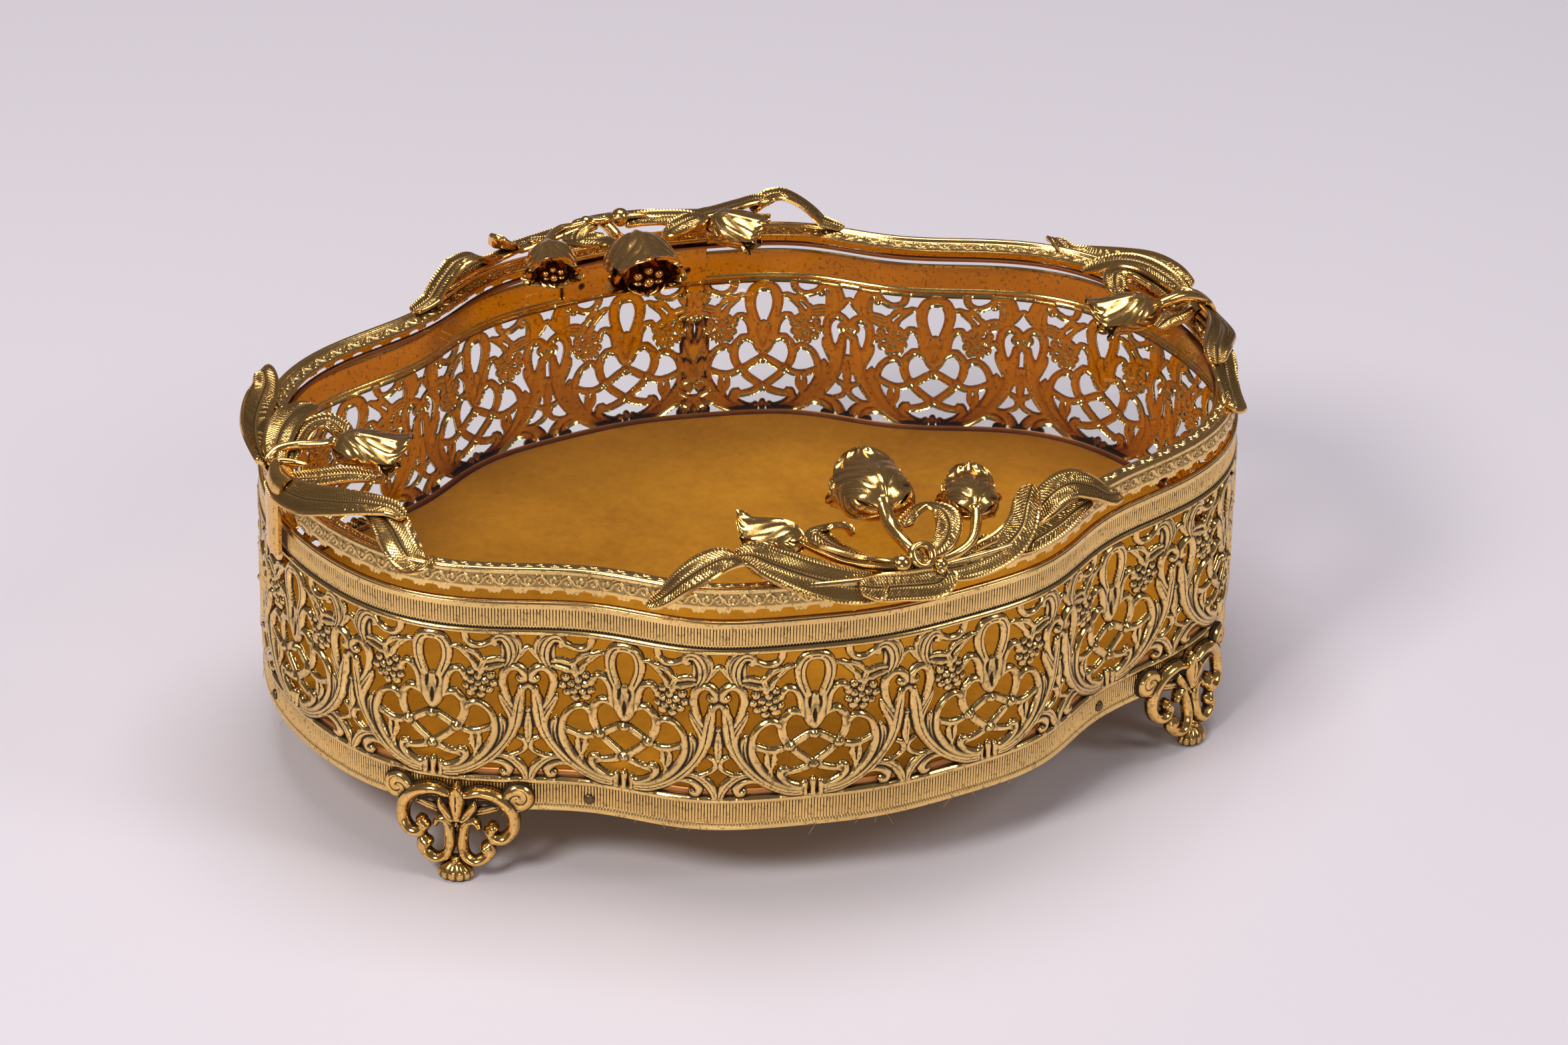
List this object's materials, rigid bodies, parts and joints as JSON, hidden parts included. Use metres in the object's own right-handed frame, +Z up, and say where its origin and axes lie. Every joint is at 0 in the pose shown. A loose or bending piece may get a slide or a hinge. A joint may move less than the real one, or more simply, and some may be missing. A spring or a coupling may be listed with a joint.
{
  "type": "vanity trinket box",
  "caption": "Serpentine oval trinket box: openwork gilt wall on cast feet, velvet-lined, with a hinged glass lid in a bezel with ribbons and tulips.",
  "frame": {"origin": "on the plane that the feet stand on, under the middle of the case", "axes": "+X along the long axis, +Y from the front towards the hinge at the back, +Z up"},
  "size_m": [0.2538, 0.1906, 0.1],
  "materials": {
    "stamped_gilt": "stamped gilt sheet, polished high spots over a dark antique patina",
    "cast_gilt": "cast and gilded, polished high spots with dark recesses",
    "copper_pan": "copper-coloured sheet, satin",
    "dark_brass": "darkened pins and rivets",
    "velvet": "crushed mustard velvet",
    "felt": "short fibrous felt",
    "board": "grey paper board",
    "lid_glass": "clear, with a wide shallow bevel"
  },
  "bodies": {
    "case": {"base_felt": "felt", "base_pan": "copper_pan", "case_hinge_rivet_1": "dark_brass", "case_hinge_rivet_2": "dark_brass", "foot_back_left": "cast_gilt", "foot_back_right": "cast_gilt", "foot_front_left": "cast_gilt", "foot_front_right": "cast_gilt", "foot_rivet_back_left_1": "dark_brass", "foot_rivet_back_left_2": "dark_brass", "foot_rivet_back_right_1": "dark_brass", "foot_rivet_back_right_2": "dark_brass", "foot_rivet_front_left_1": "dark_brass", "foot_rivet_front_left_2": "dark_brass", "foot_rivet_front_right_1": "dark_brass", "foot_rivet_front_right_2": "dark_brass", "gallery_wall": "stamped_gilt", "hinge_leaf_lower": "stamped_gilt", "hinge_pin": "dark_brass", "pad_board": "board", "pan_pin_1": "dark_brass", "pan_pin_2": "dark_brass", "pan_pin_3": "dark_brass", "pan_pin_4": "dark_brass", "pan_pin_5": "dark_brass", "pan_pin_6": "dark_brass", "velvet_pad": "velvet"},
    "lid": {"bezel": "stamped_gilt", "glass_panel": "lid_glass", "glass_retaining_ring": "copper_pan", "hinge_leaf_upper": "stamped_gilt", "lid_hinge_rivet_1": "dark_brass", "lid_hinge_rivet_2": "dark_brass", "ribbon_back": "cast_gilt", "ribbon_front": "cast_gilt", "ribbon_left": "cast_gilt", "ribbon_right": "cast_gilt", "tulip_back_centre": "cast_gilt", "tulip_back_large_side": "cast_gilt", "tulip_back_small_side": "cast_gilt", "tulip_front_centre": "cast_gilt", "tulip_front_large_side": "cast_gilt", "tulip_front_small_side": "cast_gilt", "tulip_left": "cast_gilt", "tulip_right": "cast_gilt"}
  },
  "joints": [
    {"name": "lid_hinge", "type": "hinge", "parent": "case", "child": "lid", "pos_m": [0, 0.091, 0.0778], "axis": [-1, 0, 0], "range_deg": [0, 100]}
  ]
}
